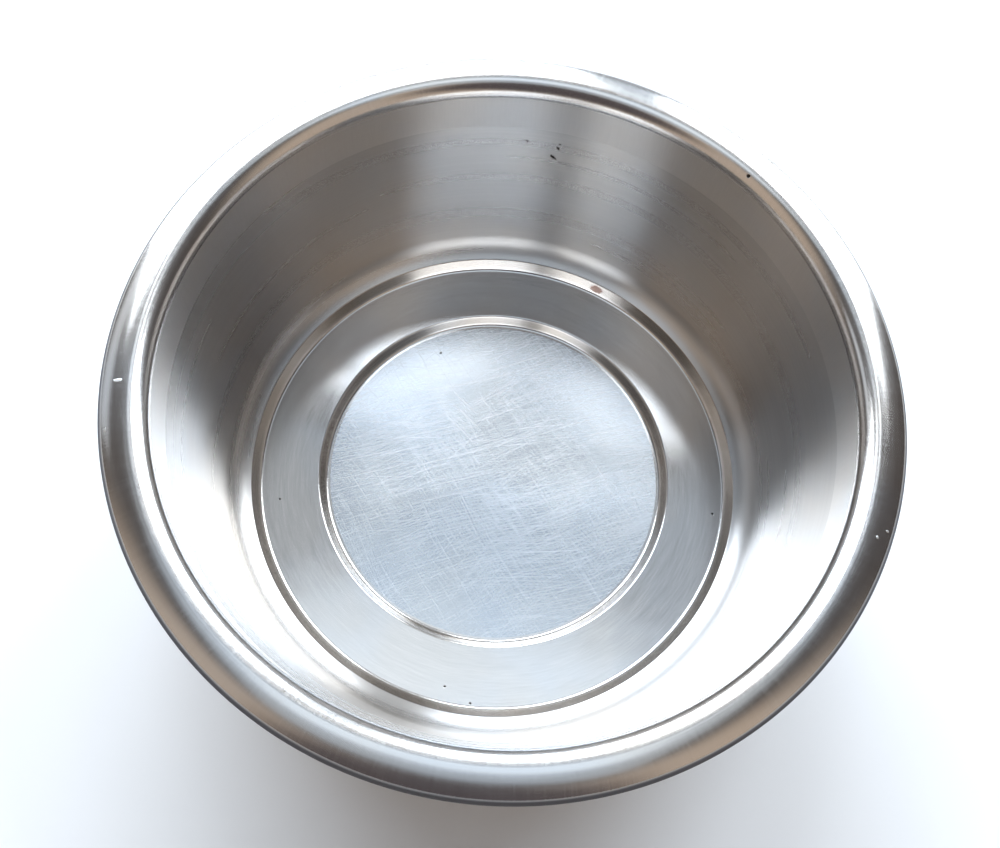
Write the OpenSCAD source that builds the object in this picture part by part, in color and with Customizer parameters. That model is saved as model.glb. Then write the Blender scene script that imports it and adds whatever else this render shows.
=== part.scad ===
// Mixing bowl: a deep round basin drawn from one stainless sheet, with a curled rim,
// an upright collar, a steep wall, a stepped base and a sunken centre disc.
// Units are millimetres. +Z is up, and the origin is the middle of the face the bowl stands on.
// The sheet is followed as one line, its upper face, from the centre of the base to the end
// of the curl. Each formed zone is a length of that line, so neighbours meet face to face.

/* [Bowl] */
// Outer diameter over the curled rim
rim_diameter = 360; // [358:0.5:364]
// Height from the table to the top of the rim
bowl_height = 140; // [130:1:160]
// Thickness of the sheet
sheet = 0.6; // [0.5:0.1:0.8]

/* [Rim] */
// How far the rim reaches out from the collar
rim_reach = 20.7; // [19:0.1:22]
// Outside radius of the flare between the collar and the top of the rim
flare_radius = 8; // [6:0.5:8.5]
// Distance from the outer edge in to the place where the top starts to fall away
top_fall_start = 7; // [6.5:0.1:8]
// Angle at which the top of the rim falls towards its outer edge
top_fall_angle = 25; // [15:1:26]
// Radius of the crown between the top and its falling part
crown_radius = 24; // [15:1:24]
// Outside radius of the curl at the outer edge
curl_radius = 3.2; // [2.5:0.1:3.2]
// Height of the curl, from its underside to the rim's outer corner
curl_height = 5.4; // [5.3:0.1:7]
// How far the curl turns back in below the rim
curl_return = 7.5; // [7:0.1:9]
// Height of the free lip that stands up inside the curl
curl_lip = 6; // [4:0.1:6.2]

/* [Wall] */
// Height of the kink line between the collar and the wall
kink_height = 110; // [95:1:112]
// Inside diameter at the kink line
kink_diameter = 315.8; // [312:0.1:317]
// Softness of the kink line
kink_radius = 8; // [4:0.5:20]
// Inside diameter where the wall and the ledge would meet without their radius
foot_diameter = 291.2; // [290:0.1:294]
// Radius between the wall and the ledge
foot_radius = 13; // [8:0.5:13]
// Slope of the ledge above the base
ledge_angle = 15; // [10:1:20]

/* [Base] */
// Diameter of the crease where the ledge steps down to the base
crease_diameter = 272.6; // [271:0.1:273]
// Height of the crease above the table
crease_height = 11.6; // [11:0.1:13]
// Outer diameter of the flat ring of the base
ring_diameter = 263.4; // [260:0.1:264]
// Height of the flat ring's upper face above the table
ring_height = 6; // [5:0.1:6.5]
// Inner diameter of the flat ring, at the top of the step down to the centre
step_diameter = 199.4; // [197:0.1:205]
// Width of the slope from the flat ring down to the centre disc
step_width = 3.6; // [3.4:0.1:4]
// Diameter of the centre disc
disc_diameter = 188; // [180:0.5:188.5]
// Softness of the outer corner of each step
corner_radius = 1.4; // [1.2:0.1:1.6]
// Softness of the inner corner of each step
hollow_radius = 2.2; // [1.4:0.1:2.4]

/* [Hidden] */
round_steps = 180;
arc_step = 6;

rim_radius = rim_diameter / 2;
collar_radius = rim_radius - rim_reach;
curl_top = bowl_height - top_fall_start * tan(top_fall_angle);
curl_bottom = curl_top - curl_height;
curl_inside = rim_radius - curl_return;
foot_height = crease_height + (foot_diameter - crease_diameter) / 2 * tan(ledge_angle);

// The collar ends and the rim begins here, just under the flare.
seam_height = bowl_height - flare_radius - 0.5;
seam_share = (seam_height - kink_height) / (bowl_height - kink_height);
seam_radius = kink_diameter / 2 + (collar_radius - kink_diameter / 2) * seam_share;

// The corners of the sheet's line, each as [distance from the axis, height, softness].
CORNERS = [
    [0, sheet, 0],
    [disc_diameter / 2, sheet, 0],
    [step_diameter / 2 - step_width, sheet, hollow_radius],
    [step_diameter / 2, ring_height, corner_radius],
    [ring_diameter / 2, ring_height, hollow_radius],
    [crease_diameter / 2, crease_height, corner_radius],
    [foot_diameter / 2, foot_height, foot_radius],
    [kink_diameter / 2, kink_height, kink_radius],
    [seam_radius, seam_height, 0],
    [collar_radius, bowl_height, flare_radius],
    [rim_radius - top_fall_start, bowl_height, crown_radius],
    [rim_radius, curl_top, curl_radius],
    [rim_radius, curl_bottom, curl_radius],
    [curl_inside, curl_bottom, curl_radius],
    [curl_inside, curl_bottom + curl_lip, 0]
];

// Places in that list where one zone ends and the next begins.
DISC_EDGE = 1;
CREASE = 5;
KINK = 7;
SEAM = 8;
LIP = 14;

function place(i) = [CORNERS[i][0], CORNERS[i][1]];

// The direction in which the line leaves corner i, as an angle.
function heading(i) =
    let (
        from = place(min(i, LIP - 1)),
        to = place(min(i, LIP - 1) + 1)
    )
    atan2(to[1] - from[1], to[0] - from[0]);

// How far the line turns at corner i, positive to the left.
function turn(i) =
    let (change = heading(i) - heading(i - 1))
    change - 360 * round(change / 360);

// The arc at corner i, from one share of its turn to another, as points [distance, height, heading].
function arc(i, from_share, to_share) =
    let (
        radius = CORNERS[i][2],
        angle = turn(i),
        side = sign(angle),
        first = heading(i - 1),
        start = place(i) - radius * tan(abs(angle) / 2) * [cos(first), sin(first)],
        middle = start + side * radius * [-sin(first), cos(first)],
        count = max(2, ceil(abs(angle) * (to_share - from_share) / arc_step))
    )
    [
        for (step = [0 : count])
            let (
                now = first + angle * (from_share + (to_share - from_share) * step / count),
                there = middle + side * radius * [sin(now), -cos(now)]
            )
            [there[0], there[1], now]
    ];

// The line at corner i: an arc where the corner is soft, or else one point.
function corner(i, from_share, to_share) =
    CORNERS[i][2] > 0
        ? arc(i, from_share, to_share)
        : [[CORNERS[i][0], CORNERS[i][1], heading(i)]];

// The line from the middle of corner i to the middle of corner j.
function stretch(i, j) = concat(
    corner(i, 0.5, 1),
    [for (k = [i + 1 : 1 : j - 1]) each corner(k, 0, 1)],
    corner(j, 0, 0.5)
);

// A zone of the bowl: the sheet along one stretch of its line, turned about the axis.
// The sheet lies on the right-hand side of the line.
module zone(i, j) {
    line = stretch(i, j);
    upper = [for (p = line) [p[0], p[1]]];
    lower = [for (p = line) [p[0] + sheet * sin(p[2]), p[1] - sheet * cos(p[2])]];
    rotate_extrude($fn = round_steps)
        polygon(concat(upper, [for (k = [len(lower) - 1 : -1 : 0]) lower[k]]));
}

// Flat disc in the middle of the base, the part that the bowl stands on
module centre_disc()
    color("gainsboro")
        cylinder(d = disc_diameter, h = sheet, $fn = round_steps);

// Step up from the disc, flat ring, and step up to the crease
module base_ring()
    color("silver")
        zone(DISC_EDGE, CREASE);

// Ledge, foot radius and steep wall, up to the kink line
module side_wall()
    color("darkgray")
        zone(CREASE, KINK);

// Nearly upright band between the kink line and the rim
module upper_collar()
    color("lightslategray")
        zone(KINK, SEAM);

// Flare, falling top and curled outer edge
module rolled_rim()
    color("lightgray")
        zone(SEAM, LIP);

centre_disc();
base_ring();
side_wall();
upper_collar();
rolled_rim();
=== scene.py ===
# Mixing bowl: the looks of a deep basin drawn from one stainless sheet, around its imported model.
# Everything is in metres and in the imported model's frame: +Z is up, and the bowl stands on z = 0.
import math

import bmesh
import bpy
from mathutils import Matrix, Vector


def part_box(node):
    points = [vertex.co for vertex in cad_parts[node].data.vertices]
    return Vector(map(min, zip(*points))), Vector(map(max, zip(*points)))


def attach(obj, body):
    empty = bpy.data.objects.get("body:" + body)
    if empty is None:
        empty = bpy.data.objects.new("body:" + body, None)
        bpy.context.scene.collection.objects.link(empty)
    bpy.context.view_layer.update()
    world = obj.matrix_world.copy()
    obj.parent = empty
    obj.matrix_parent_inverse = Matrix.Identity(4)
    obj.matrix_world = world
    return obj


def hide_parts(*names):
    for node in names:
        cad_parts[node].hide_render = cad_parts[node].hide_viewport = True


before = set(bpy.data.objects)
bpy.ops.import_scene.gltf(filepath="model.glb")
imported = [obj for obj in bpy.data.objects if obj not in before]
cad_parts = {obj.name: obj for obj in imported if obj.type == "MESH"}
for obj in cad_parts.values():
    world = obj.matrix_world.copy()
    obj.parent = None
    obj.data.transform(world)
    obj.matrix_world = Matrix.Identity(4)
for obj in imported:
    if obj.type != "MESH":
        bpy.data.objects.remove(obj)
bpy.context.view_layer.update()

# ---- Sizes that the frame gives ----

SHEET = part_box("centre_disc")[1].z
DISC_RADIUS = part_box("centre_disc")[1].x
KINK_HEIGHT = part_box("side_wall")[1].z
SEAM_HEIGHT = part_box("upper_collar")[1].z
RIM_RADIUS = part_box("rolled_rim")[1].x
BOWL_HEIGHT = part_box("rolled_rim")[1].z

# ---- Sizes of the formed sheet, as in the design ----

STEP_RADIUS = 0.0997
STEP_WIDTH = 0.0036
RING_RADIUS = 0.1317
RING_HEIGHT = 0.006
CREASE_RADIUS = 0.1363
CREASE_HEIGHT = 0.0116
FOOT_RADIUS = 0.1456
LEDGE_SLOPE = math.radians(15)
KINK_RADIUS = 0.1579
COLLAR_RADIUS = RIM_RADIUS - 0.0207
TOP_FALL_START = 0.007
TOP_FALL_ANGLE = math.radians(25)
CURL_HEIGHT = 0.0054
CURL_RETURN = 0.0075
CURL_LIP = 0.006

# How soft each kind of bend is.
STEP_CORNER = 0.0014
STEP_HOLLOW = 0.0022
FOOT_BEND = 0.013
KINK_BEND = 0.008
FLARE_BEND = 0.008
CROWN_BEND = 0.024
CURL_BEND = 0.0032

CURL_TOP = BOWL_HEIGHT - TOP_FALL_START * math.tan(TOP_FALL_ANGLE)
CURL_BOTTOM = CURL_TOP - CURL_HEIGHT
CURL_INSIDE = RIM_RADIUS - CURL_RETURN
FOOT_HEIGHT = CREASE_HEIGHT + (FOOT_RADIUS - CREASE_RADIUS) * math.tan(LEDGE_SLOPE)
SEAM_SHARE = (SEAM_HEIGHT - KINK_HEIGHT) / (BOWL_HEIGHT - KINK_HEIGHT)
SEAM_RADIUS = KINK_RADIUS + (COLLAR_RADIUS - KINK_RADIUS) * SEAM_SHARE

# The corners of the sheet's upper face, each as (distance from the axis, height, softness).
CORNERS = [
    (0.0, SHEET, 0.0),
    (DISC_RADIUS, SHEET, 0.0),
    (STEP_RADIUS - STEP_WIDTH, SHEET, STEP_HOLLOW),
    (STEP_RADIUS, RING_HEIGHT, STEP_CORNER),
    (RING_RADIUS, RING_HEIGHT, STEP_HOLLOW),
    (CREASE_RADIUS, CREASE_HEIGHT, STEP_CORNER),
    (FOOT_RADIUS, FOOT_HEIGHT, FOOT_BEND),
    (KINK_RADIUS, KINK_HEIGHT, KINK_BEND),
    (SEAM_RADIUS, SEAM_HEIGHT, 0.0),
    (COLLAR_RADIUS, BOWL_HEIGHT, FLARE_BEND),
    (RIM_RADIUS - TOP_FALL_START, BOWL_HEIGHT, CROWN_BEND),
    (RIM_RADIUS, CURL_TOP, CURL_BEND),
    (RIM_RADIUS, CURL_BOTTOM, CURL_BEND),
    (CURL_INSIDE, CURL_BOTTOM, CURL_BEND),
    (CURL_INSIDE, CURL_BOTTOM + CURL_LIP, 0.0),
]
AXIS, DISC_EDGE, CREASE, KINK, SEAM, LIP = 0, 1, 5, 7, 8, 14

# How finely the bowl is meshed.
AROUND = 320
ARC_STEP = math.radians(3)
STRAIGHT_STEP = 0.006


# ---- The line of the sheet ----


def heading(i):
    """The direction in which the line leaves corner i."""
    i = min(i, LIP - 1)
    (r0, z0, _), (r1, z1, _) = CORNERS[i], CORNERS[i + 1]
    return math.atan2(z1 - z0, r1 - r0)


def corner(i, from_share=0.0, to_share=1.0):
    """The line at corner i as (radius, height, heading): an arc where it is soft, or one point."""
    r, z, softness = CORNERS[i]
    if not softness:
        return [(r, z, heading(i))]
    first = heading(i - 1)
    angle = math.remainder(heading(i) - first, math.tau)
    side = math.copysign(1, angle)
    reach = softness * math.tan(abs(angle) / 2)
    middle_r = r - reach * math.cos(first) - side * softness * math.sin(first)
    middle_z = z - reach * math.sin(first) + side * softness * math.cos(first)
    count = max(2, math.ceil(abs(angle) * (to_share - from_share) / ARC_STEP))
    points = []
    for step in range(count + 1):
        now = first + angle * (from_share + (to_share - from_share) * step / count)
        there_r = middle_r + side * softness * math.sin(now)
        there_z = middle_z - side * softness * math.cos(now)
        points.append((there_r, there_z, now))
    return points


def stretch(i, j):
    """The line from the middle of corner i to the middle of corner j, with long straights divided."""
    corners = [corner(i, 0.5, 1.0)]
    corners += [corner(k) for k in range(i + 1, j)]
    corners += [corner(j, 0.0, 0.5)]
    line = list(corners[0])
    for points in corners[1:]:
        r0, z0, _ = line[-1]
        r1, z1, _ = points[0]
        parts = math.ceil(math.hypot(r1 - r0, z1 - z0) / STRAIGHT_STEP)
        along = math.atan2(z1 - z0, r1 - r0)
        for part in range(1, parts):
            share = part / parts
            line.append((r0 + (r1 - r0) * share, z0 + (z1 - z0) * share, along))
        line += points
    return line


# ---- Meshes ----


def section(line):
    """The closed outline of the sheet along a line, as sides of (start, end, start normal, end normal)."""
    upper = [((r, z), (-math.sin(h), math.cos(h))) for r, z, h in line]
    lower = [((p[0] - SHEET * n[0], p[1] - SHEET * n[1]), (-n[0], -n[1])) for p, n in upper]
    sides = [(a[0], b[0], a[1], b[1]) for a, b in zip(upper, upper[1:])]
    sides += [(b[0], a[0], b[1], a[1]) for a, b in zip(lower, lower[1:])][::-1]
    for start, end, line_end, way in ((upper, lower, -1, 1), (lower, upper, 0, -1)):
        angle = line[line_end][2]
        flat = (way * math.cos(angle), way * math.sin(angle))
        sides.append((start[line_end][0], end[line_end][0], flat, flat))
    return sides


def turned(name, line):
    """The sheet along a line, turned about the axis: a closed solid with the exact normals of its form."""
    mesh = bpy.data.meshes.new(name)
    shape = bmesh.new()
    rings = {}

    def ring(point):
        """The vertices of one point of the section, made once."""
        key = (round(point[0], 7), round(point[1], 7))
        if key not in rings:
            count = AROUND if key[0] > 0 else 1
            turns = [math.tau * k / AROUND for k in range(count)]
            rings[key] = [
                shape.verts.new((point[0] * math.cos(t), point[0] * math.sin(t), point[1])) for t in turns
            ]
        return rings[key]

    normals = []
    for start, end, start_normal, end_normal in section(line):
        a, b = ring(start), ring(end)
        if len(a) == len(b) == 1:
            continue
        for k in range(AROUND):
            now, after = math.tau * k / AROUND, math.tau * (k + 1) / AROUND
            loop = [(a[k % len(a)], start_normal, now), (b[k % len(b)], end_normal, now)]
            if len(b) > 1:
                loop.append((b[(k + 1) % AROUND], end_normal, after))
            if len(a) > 1:
                loop.append((a[(k + 1) % AROUND], start_normal, after))
            shape.faces.new([vertex for vertex, _, _ in loop]).smooth = True
            normals += [(n[0] * math.cos(t), n[0] * math.sin(t), n[1]) for _, n, t in loop]
    shape.to_mesh(mesh)
    shape.free()
    mesh.normals_split_custom_set(normals)
    piece = bpy.data.objects.new(name, mesh)
    bpy.context.scene.collection.objects.link(piece)
    return piece


# ---- Nodes ----


def add(tree, kind, inputs=None, **settings):
    """Adds a node. inputs holds a value, or another node's output, for each named or numbered socket."""
    node = tree.nodes.new("ShaderNode" + kind)
    for key, value in settings.items():
        setattr(node, key, value)
    for socket, value in (inputs or {}).items():
        if isinstance(value, bpy.types.NodeSocket):
            tree.links.new(value, node.inputs[socket])
        else:
            node.inputs[socket].default_value = value
    return node


def calc(tree, operation, *values):
    """The result of one step of arithmetic."""
    return add(tree, "Math", dict(enumerate(values)), operation=operation).outputs[0]


def total(tree, *parts):
    """The sum of several (value, weight) pairs."""
    result = 0.0
    for value, weight in parts:
        result = calc(tree, "MULTIPLY_ADD", value, weight, result)
    return result


def strongest(tree, values):
    """The highest of several values."""
    result = values[0]
    for value in values[1:]:
        result = calc(tree, "MAXIMUM", result, value)
    return result


def ramp(tree, value, low, high, to_low=0.0, to_high=1.0):
    """Maps value from low..high to to_low..to_high, smoothly and no further."""
    inputs = {"Value": value, 1: low, 2: high, 3: to_low, 4: to_high}
    return add(tree, "MapRange", inputs, interpolation_type="SMOOTHSTEP").outputs[0]


def vector(tree, operation, *values, output=0):
    """The result of one step of vector arithmetic."""
    return add(tree, "VectorMath", dict(enumerate(values)), operation=operation).outputs[output]


def noise(tree, point, scale, detail=2.0, roughness=0.5):
    """Noise between 0 and 1, about 0.5 on average."""
    inputs = {"Vector": point, "Scale": scale, "Detail": detail, "Roughness": roughness}
    return add(tree, "TexNoise", inputs).outputs[0]


def tinted(tree, share, first, second):
    """The colour between two colours, each a colour or another node's output."""
    inputs = {"Factor": share}
    for socket, colour in ((6, first), (7, second)):
        inputs[socket] = colour if isinstance(colour, bpy.types.NodeSocket) else (*colour, 1)
    return add(tree, "Mix", inputs, data_type="RGBA").outputs[2]


def shaded(tree, colour, shade):
    """A colour made lighter or darker by a factor."""
    inputs = {"Factor": 1.0, 6: colour, 7: shade}
    return add(tree, "Mix", inputs, data_type="RGBA", blend_type="MULTIPLY").outputs[2]


def height_of(tree, point):
    return add(tree, "SeparateXYZ", {0: point}).outputs[2]


def radius_of(tree, point):
    return vector(tree, "LENGTH", vector(tree, "MULTIPLY", point, (1.0, 1.0, 0.0)), output="Value")


def place(tree):
    """The point on the bowl, its direction from the axis, and a measure that grows along the sheet."""
    point = add(tree, "TexCoord").outputs["Object"]
    flat = vector(tree, "MULTIPLY", point, (1.0, 1.0, 0.0))
    along = calc(tree, "ADD", radius_of(tree, point), height_of(tree, point))
    return point, vector(tree, "NORMALIZE", flat), along


def lines(tree, outward, along, around, across, detail=2.0):
    """Fine lines on the bowl. around is their size round the axis, in turns, and across is in metres."""
    shift = add(tree, "CombineXYZ", {2: calc(tree, "MULTIPLY", along, 1 / across)}).outputs[0]
    spread = vector(tree, "SCALE", outward)
    spread.node.inputs["Scale"].default_value = 1 / (math.tau * around)
    return noise(tree, vector(tree, "ADD", spread, shift), 1.0, detail, 0.6)


# How often the scratches bend per metre, and how far, and how soft their edges are.
BEND_SCALE = 7.0
BEND_REACH = (0.03, 0.03, 0.0)
SCRATCH_FADE = (-0.04, 0.08)


def scratches(tree, point, degrees, width, length, share, seed):
    """Fine scratches at one angle, each a little bent, as a mask. A larger share covers more."""
    bend = add(tree, "TexNoise", {"Vector": point, "Scale": BEND_SCALE, "Detail": 1.0}).outputs["Color"]
    bent = vector(tree, "ADD", point, vector(tree, "MULTIPLY", bend, BEND_REACH))
    turn = {"Vector": bent, "Angle": -math.radians(degrees)}
    level = add(tree, "VectorRotate", turn, rotation_type="Z_AXIS").outputs[0]
    stretched = vector(tree, "MULTIPLY", level, (1 / length, 1 / width, 1.0))
    value = noise(tree, vector(tree, "ADD", stretched, (seed, seed, seed)), 1.0, 1.0, 0.5)
    edge = 0.5 + 0.2 * (1 - 2 * share)
    return ramp(tree, value, edge + SCRATCH_FADE[0], edge + SCRATCH_FADE[1])


# The ragged outline of a small mark: lobes per metre, and their share of its reach.
RAGGED_SCALE = 900.0
RAGGED_SHARE = 0.9


def mark(tree, point, degrees, radius, height, size, lean=0.0):
    """A small mark on the bowl, as a mask. size is its (outward, around, up) reach in metres."""
    turn = math.radians(degrees)
    middle = (radius * math.cos(turn), radius * math.sin(turn), height)
    local = vector(tree, "SUBTRACT", point, middle)
    for kind, angle in (("Z_AXIS", -turn), ("X_AXIS", -math.radians(lean))):
        local = add(tree, "VectorRotate", {"Vector": local, "Angle": angle}, rotation_type=kind).outputs[0]
    ragged = calc(
        tree, "MULTIPLY_ADD", noise(tree, point, RAGGED_SCALE, 2.0), RAGGED_SHARE, -RAGGED_SHARE / 2
    )
    reach = vector(tree, "LENGTH", vector(tree, "DIVIDE", local, size), output="Value")
    return ramp(tree, calc(tree, "ADD", reach, ragged), 1.0, 0.6)


def marks(tree, point, rows):
    """Several small marks as one mask."""
    return strongest(tree, [mark(tree, point, *row) for row in rows])


# A quarter turn lays the shader's brushing round the axis.
BRUSHED_ROUND = 0.25


def metal(name, finish):
    """A steel material. finish(tree) gives its relief in metres, and the shader's inputs by name."""
    material = bpy.data.materials.new(name)
    material.use_nodes = True
    tree = material.node_tree
    tree.nodes.clear()
    relief, inputs = finish(tree)
    bumped = add(tree, "Bump", {"Strength": 1.0, "Distance": 1.0, "Height": relief}).outputs[0]
    tangent = add(tree, "Tangent", direction_type="RADIAL", axis="Z").outputs[0]
    shader = add(tree, "BsdfPrincipled", {
        "Metallic": 1.0,
        "Anisotropic Rotation": BRUSHED_ROUND,
        "Tangent": tangent,
        "Normal": bumped,
        **inputs,
    })
    add(tree, "OutputMaterial", {"Surface": shader.outputs[0]})
    return material


# ---- Materials ----

# Tints. Steel drifts slowly between two of them.
WARM_STEEL = (0.69, 0.645, 0.60)
COOL_STEEL = (0.66, 0.65, 0.645)
BLUE_STEEL = (0.62, 0.65, 0.69)
PALE_STEEL = (0.69, 0.70, 0.71)
DRIFT_SCALE = 12.0
GRIME = (0.035, 0.03, 0.03)
RUST = (0.34, 0.20, 0.16)
# Painted shade: the dark colour of the rim's outer corner.
PAINTED_SHADE_EDGE = (0.08, 0.08, 0.09)
# A tan painted reflection, laid on the risers of the base's two steps.
PAINTED_RISER_REFLECTION = (0.30, 0.255, 0.21)

# Brushing, each kind as (size round the axis in turns, size across in metres, detail).
WALL_FINE = (0.1, 0.0011, 0.0)
WALL_BROAD = (0.3, 0.008, 0.0)
COLLAR_FINE = (0.03, 0.0009, 2.0)
COLLAR_CROSS = (0.0009, 0.014, 2.0)
BASE_FINE = (0.02, 0.0008, 2.0)
BASE_BROAD = (0.1, 0.004, 2.0)
RIM_FINE = (0.025, 0.0009, 2.0)
RIM_CROSS = (0.0007, 0.012, 2.0)

# Slow unevenness of the sheet, in waves per metre.
WALL_WAVES = 24.0
RIM_WAVES = 26.0
BASE_WAVES = 26.0
DISC_WAVES = (6.0, 14.0, 1.0)

# Small marks, each as (degrees round the axis, radius, height, (outward, around, up) reach) and any
# lean in degrees. Most places were worked out with the fitted camera from points picked one by one.
WALL_NICKS = [
    (88.9, 0.1556, 0.092, (0.006, 0.0026, 0.0010), 35),
    (88.2, 0.1562, 0.099, (0.006, 0.0016, 0.0008), 50),
    (88.0, 0.1566, 0.102, (0.006, 0.0007, 0.0007), 0),
    (94.5, 0.1562, 0.101, (0.006, 0.0007, 0.0010), -30),
]
BASE_STAIN = (71.0, 0.1342, 0.009, (0.003, 0.0048, 0.0025))
BASE_SPECKS = [
    (358.0, 0.1265, RING_HEIGHT, (0.0010, 0.0010, 0.004)),
    (266.5, 0.1234, RING_HEIGHT, (0.0007, 0.0009, 0.004)),
    (273.1, 0.1296, RING_HEIGHT, (0.0007, 0.0008, 0.004)),
    (198.0, 0.122, RING_HEIGHT, (0.0008, 0.0008, 0.004)),
]
DISC_SPECK = (122.0, 0.083, SHEET, (0.0009, 0.0009, 0.004))
RIM_NICKS = [
    (191.8, 0.171, BOWL_HEIGHT, (0.0022, 0.0008, 0.004)),
    (199.1, 0.176, BOWL_HEIGHT, (0.0008, 0.0012, 0.004)),
    (343.6, 0.172, BOWL_HEIGHT, (0.0007, 0.0007, 0.004)),
    (345.2, 0.1755, BOWL_HEIGHT, (0.0008, 0.0006, 0.004)),
    (172.0, 0.174, BOWL_HEIGHT, (0.0006, 0.0009, 0.004)),
]
RIM_PIT = (52.0, 0.162, 0.1385, (0.0010, 0.0011, 0.003))

# Families of scratches on the disc, each as (degrees, width, length, share, seed).
WORN_SCRATCHES = [
    (10, 0.0005, 0.09, 0.2, 3.1),
    (25, 0.0005, 0.08, 0.3, 7.7),
    (36, 0.0005, 0.06, 0.25, 12.9),
    (58, 0.0005, 0.05, 0.15, 15.1),
    (128, 0.0005, 0.06, 0.2, 17.3),
    (142, 0.0005, 0.05, 0.2, 23.9),
]
DEEP_SCRATCHES = [
    (12, 0.0007, 0.08, 0.0, 31.0),
    (28, 0.0007, 0.08, -0.05, 34.0),
    (132, 0.0007, 0.06, 0.0, 37.0),
]
WORN_WEIGHT = 0.4

# Heights between which the painted reflection on the riser of each step of the base fades in and out.
INNER_REFLECTION_IN = (0.0012, 0.0024)
INNER_REFLECTION_OUT = (0.0056, 0.0046)
OUTER_REFLECTION_IN = (0.0068, 0.0082)

# Heights, and distances from the axis, between which the rim's dull, painted-shade outer corner fades in.
DULL_SHADED_ABOVE = (CURL_TOP - 0.0022, CURL_TOP - 0.0012)
DULL_SHADED_BEYOND = (RIM_RADIUS - 0.0024, RIM_RADIUS - 0.0012)


def steel(tree, point, first=WARM_STEEL, second=COOL_STEEL):
    """Steel whose tint drifts slowly between two tints."""
    return tinted(tree, ramp(tree, noise(tree, point, DRIFT_SCALE, 3.0), 0.35, 0.65), first, second)


# In each finish below, total() adds up what each pattern gives to the shade, the roughness or the
# relief. A shade or roughness ends with the plain surface's own value, and relief is in metres.


def wall_steel(tree):
    """Half-bright steel with fine brushing around the bowl, and a few nicks on its far side."""
    point, outward, along = place(tree)
    fine = lines(tree, outward, along, *WALL_FINE)
    broad = lines(tree, outward, along, *WALL_BROAD)
    wave = noise(tree, point, WALL_WAVES, 1.0)
    nicks = marks(tree, point, WALL_NICKS)
    tint = shaded(tree, steel(tree, point), total(tree, (fine, 0.05), (broad, 0.05), (0.81, 1.0)))
    return total(tree, (wave, 0.00006), (nicks, -0.0003)), {
        "Base Color": tinted(tree, nicks, tint, GRIME),
        "Roughness": total(tree, (broad, 0.015), (0.268, 1.0)),
        "Anisotropic": 1.0,
    }


def collar_steel(tree):
    """Half-bright steel with faint brushing around the bowl, crossed by short upright marks."""
    point, outward, along = place(tree)
    fine = lines(tree, outward, along, *COLLAR_FINE)
    cross = lines(tree, outward, along, *COLLAR_CROSS)
    wave = noise(tree, point, WALL_WAVES, 1.0)
    return total(tree, (wave, 0.00006), (cross, 0.000004)), {
        # Painted highlight: the collar's plain shade of 0.93, against the wall's 0.81, makes the same
        # steel lighter for the light on the collar.
        "Base Color": shaded(
            tree, steel(tree, point), total(tree, (fine, 0.03), (cross, 0.08), (0.93, 1.0))
        ),
        "Roughness": total(tree, (cross, 0.03), (0.29, 1.0)),
        "Anisotropic": 1.0,
    }


def spun_steel(tree):
    """Satin steel brushed in circles, with a tan painted reflection on both steps, a stain on the outer
    one, and specks.
    """
    point, outward, along = place(tree)
    fine = lines(tree, outward, along, *BASE_FINE)
    broad = lines(tree, outward, along, *BASE_BROAD)
    wave = noise(tree, point, BASE_WAVES, 1.0)
    level = height_of(tree, point)
    # Painted reflection: the risers of both steps are painted tan where they reflect a tan band.
    inner_reflection = calc(tree, "MINIMUM", ramp(tree, level, *INNER_REFLECTION_IN), ramp(tree, level, *INNER_REFLECTION_OUT))
    painted_reflection = calc(tree, "MAXIMUM", inner_reflection, ramp(tree, level, *OUTER_REFLECTION_IN))
    stain = mark(tree, point, *BASE_STAIN)
    specks = marks(tree, point, BASE_SPECKS)
    tint = shaded(tree, steel(tree, point), total(tree, (fine, 0.24), (broad, 0.12), (0.8, 1.0)))
    tint = tinted(tree, calc(tree, "MULTIPLY", painted_reflection, 0.55), tint, PAINTED_RISER_REFLECTION)
    tint = tinted(tree, calc(tree, "MULTIPLY", stain, 0.75), tint, RUST)
    return total(tree, (wave, 0.0003), (fine, 0.0000006), (specks, -0.0001)), {
        "Base Color": tinted(tree, specks, tint, GRIME),
        "Roughness": total(tree, (fine, 0.08), (broad, 0.05), (stain, 0.15), (0.10, 1.0)),
        "Anisotropic": 0.7,
    }


def scratched_steel(tree):
    """Satin steel covered with fine crossing scratches from use."""
    point = place(tree)[0]
    worn = total(tree, *[(scratches(tree, point, *row), WORN_WEIGHT) for row in WORN_SCRATCHES])
    deep = strongest(tree, [scratches(tree, point, *row) for row in DEEP_SCRATCHES])
    cloud = noise(tree, point, 16.0, 2.0)
    dish = noise(tree, vector(tree, "MULTIPLY", point, DISC_WAVES), 1.0, 1.0)
    colour = steel(tree, point, PALE_STEEL, BLUE_STEEL)
    tint = shaded(tree, colour, total(tree, (worn, 0.2), (deep, 0.16), (cloud, 0.1), (0.78, 1.0)))
    return total(tree, (dish, 0.0014), (worn, 0.000001), (deep, 0.000003)), {
        "Base Color": tinted(tree, mark(tree, point, *DISC_SPECK), tint, GRIME),
        "Roughness": total(tree, (worn, 0.07), (deep, 0.05), (cloud, 0.1), (0.2, 1.0)),
    }


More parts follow.
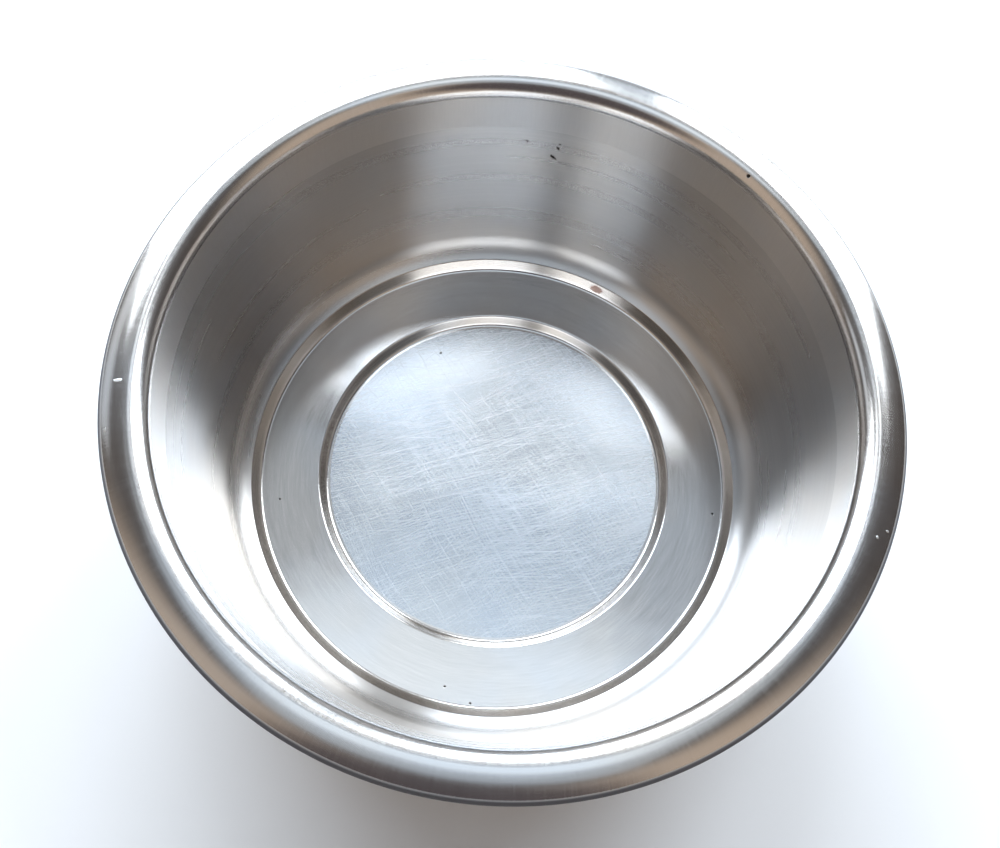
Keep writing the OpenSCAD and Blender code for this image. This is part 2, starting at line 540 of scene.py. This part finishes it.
def rim_steel(tree):
    """Bright steel with short marks across the rim, small nicks, a dark pit and a dull outer corner in
    painted shade.
    """
    point, outward, along = place(tree)
    fine = lines(tree, outward, along, *RIM_FINE)
    cross = lines(tree, outward, along, *RIM_CROSS)
    wave = noise(tree, point, RIM_WAVES, 1.0)
    nicks = marks(tree, point, RIM_NICKS)
    pit = mark(tree, point, *RIM_PIT)
    above = ramp(tree, height_of(tree, point), *DULL_SHADED_ABOVE)
    edge = calc(tree, "MULTIPLY", above, ramp(tree, radius_of(tree, point), *DULL_SHADED_BEYOND))
    tint = shaded(tree, steel(tree, point), total(tree, (fine, 0.08), (cross, 0.12), (0.89, 1.0)))
    # Painted shade: the rim's outer corner is painted dark for the shade along its outer edge; it is also
    # rough and not metallic.
    tint = tinted(tree, calc(tree, "MULTIPLY", edge, 0.95), tint, PAINTED_SHADE_EDGE)
    relief = [(wave, 0.0001), (fine, 0.0000005), (cross, 0.000009), (nicks, 0.00008), (pit, -0.0001)]
    return total(tree, *relief), {
        "Base Color": tinted(tree, pit, tint, GRIME),
        "Roughness": total(tree, (fine, 0.06), (cross, 0.1), (nicks, 0.2), (edge, 0.7), (0.12, 1.0)),
        "Anisotropic": 0.5,
        "Metallic": calc(tree, "SUBTRACT", 1.0, edge),
    }


def pale_cloth():
    """Pale, faintly uneven floor."""
    material = bpy.data.materials.new("pale_floor")
    material.use_nodes = True
    tree = material.node_tree
    tree.nodes.clear()
    point = add(tree, "TexCoord").outputs["Object"]
    tint = tinted(tree, noise(tree, point, 3.0, 3.0), (0.86, 0.86, 0.87), (0.90, 0.90, 0.90))
    shader = add(tree, "BsdfPrincipled", {"Base Color": tint, "Roughness": 0.85})
    add(tree, "OutputMaterial", {"Surface": shader.outputs[0]})
    return material


# ---- Scene ----

CAMERA_PLACE = (-0.0016, -0.1846, 0.5295)
CAMERA_TILT = math.radians(22.17)
CAMERA_ROLL = math.radians(9.46)
CAMERA_LENS = 34.85


def camera():
    """Looks down into the bowl from the near side, turned a little about its own line of sight."""
    data = bpy.data.cameras.new("camera")
    data.lens = CAMERA_LENS
    data.sensor_width = 36
    item = bpy.data.objects.new("camera", data)
    bpy.context.scene.collection.objects.link(item)
    turn = Matrix.Rotation(CAMERA_TILT, 4, "X") @ Matrix.Rotation(CAMERA_ROLL, 4, "Z")
    item.matrix_world = Matrix.Translation(CAMERA_PLACE) @ turn
    bpy.context.scene.camera = item


PANEL_DISTANCE = 2.0

DAYLIGHT = (0.82, 0.91, 1.0)
SKY = (0.74, 0.87, 1.0)
CREAM = (1.0, 0.94, 0.86)

# Upright soft panels, each as (name, azimuth from, to, elevation from, to, radiance, colour), in
# degrees as seen from the bowl. Azimuth 90 is beyond the bowl, as the camera sees it.
PANELS = [
    ("right_window", 44, 77, 12, 53, 9.0, DAYLIGHT),
    ("left_window", 88, 146, 12, 53, 9.0, DAYLIGHT),
    ("right_window_top", 62, 78, 54, 65, 6.0, DAYLIGHT),
    ("left_window_top", 97, 117, 54, 65, 6.0, DAYLIGHT),
    ("between_windows", 78, 87, 12, 50, 0.6, SKY),
    ("between_tops", 79, 96, 54, 66, 0.35, CREAM),
    ("left_side", 148, 176, 22, 38, 0.8, DAYLIGHT),
]


# Level soft panels overhead, each as (name, middle, width, depth, radiance, colour).
OVERHEAD = [
    ("ceiling", (0, 0, 2.6), 2.0, 2.0, 0.58, SKY),
    ("ceiling_glow", (0, 0.1, 2.5), 1.2, 0.66, 0.95, SKY),
]
DOWN = Vector((0, 0, -1))


def area_light(name, middle, facing, width, height, radiance, colour):
    """A soft rectangular light at middle, facing a direction."""
    data = bpy.data.lights.new(name, "AREA")
    data.shape = "RECTANGLE"
    data.size, data.size_y = width, height
    data.energy = radiance * width * height * math.pi
    data.color = colour
    item = bpy.data.objects.new(name, data)
    bpy.context.scene.collection.objects.link(item)
    item.location = middle
    item.rotation_euler = (-facing).to_track_quat("Z", "Y").to_euler()
    item.visible_camera = False


def panel(name, azimuth_from, azimuth_to, elevation_from, elevation_to, radiance, colour):
    """An upright light that fills a range of azimuth and elevation as seen from the bowl."""
    azimuth = math.radians(azimuth_from + azimuth_to) / 2
    low, high = (PANEL_DISTANCE * math.tan(math.radians(e)) for e in (elevation_from, elevation_to))
    width = 2 * PANEL_DISTANCE * math.tan(math.radians(azimuth_to - azimuth_from) / 2)
    outward = Vector((math.cos(azimuth), math.sin(azimuth), 0.0))
    middle = outward * PANEL_DISTANCE + Vector((0, 0, (low + high) / 2))
    area_light(name, middle, -outward, width, high - low, radiance, colour)


FLOOR_HALF = 4.0
FLOOR_HEIGHT = -0.0001


def floor():
    """The plain pale floor."""
    mesh = bpy.data.meshes.new("floor")
    half, below = FLOOR_HALF, FLOOR_HEIGHT
    corners = [(-half, -half, below), (half, -half, below), (half, half, below), (-half, half, below)]
    mesh.from_pydata(corners, [], [(0, 1, 2, 3)])
    item = bpy.data.objects.new("floor", mesh)
    bpy.context.scene.collection.objects.link(item)
    mesh.materials.append(pale_cloth())


NEAR = (0.0, -1.0, 0.0)
UP = (0.0, 0.0, 1.0)
CAMERA_WAY = (0.0, -0.8, 0.6)
ROOM = (0.085, 0.075, 0.072)
NEAR_ROOM = (0.58, 0.49, 0.41)
DARK_SPOT = (0.10, 0.085, 0.09)
BACKDROP = (0.8, 0.81, 0.82, 1)


def surroundings():
    """A dim warm room, lighter on the near side except behind the camera, and a pale backdrop to see."""
    world = bpy.data.worlds.new("world")
    bpy.context.scene.world = world
    world.use_nodes = True
    tree = world.node_tree
    tree.nodes.clear()
    way = add(tree, "TexCoord").outputs["Generated"]
    side, level, behind = (
        vector(tree, "DOT_PRODUCT", way, axis, output="Value") for axis in (NEAR, UP, CAMERA_WAY)
    )
    glow = calc(tree, "MULTIPLY", ramp(tree, side, -0.1, 0.35), ramp(tree, level, 0.95, 0.8))
    dim = tinted(tree, glow, ROOM, NEAR_ROOM)
    dim = tinted(tree, ramp(tree, behind, 0.80, 0.93), dim, DARK_SPOT)
    seen = add(tree, "LightPath").outputs["Is Camera Ray"]
    backdrop = add(tree, "Background", {"Color": BACKDROP}).outputs[0]
    light = add(tree, "Background", {"Color": dim}).outputs[0]
    both = add(tree, "MixShader", {0: seen, 1: light, 2: backdrop}).outputs[0]
    add(tree, "OutputWorld", {"Surface": both})


ZONES = [
    ("disc_sheet", "centre_disc", AXIS, DISC_EDGE, metal("disc_finish", scratched_steel)),
    ("base_sheet", "base_ring", DISC_EDGE, CREASE, metal("base_finish", spun_steel)),
    ("wall_sheet", "side_wall", CREASE, KINK, metal("wall_finish", wall_steel)),
    ("collar_sheet", "upper_collar", KINK, SEAM, metal("collar_finish", collar_steel)),
    ("rim_sheet", "rolled_rim", SEAM, LIP, metal("rim_finish", rim_steel)),
]

camera()
for name, node, i, j, material in ZONES:
    piece = turned(name, stretch(i, j))
    piece.data.materials.append(material)
    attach(piece, "root")
    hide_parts(node)

floor()
surroundings()
for row in PANELS:
    panel(*row)
for name, middle, width, depth, radiance, colour in OVERHEAD:
    area_light(name, Vector(middle), DOWN, width, depth, radiance, colour)
bpy.context.scene.view_settings.view_transform = "Standard"
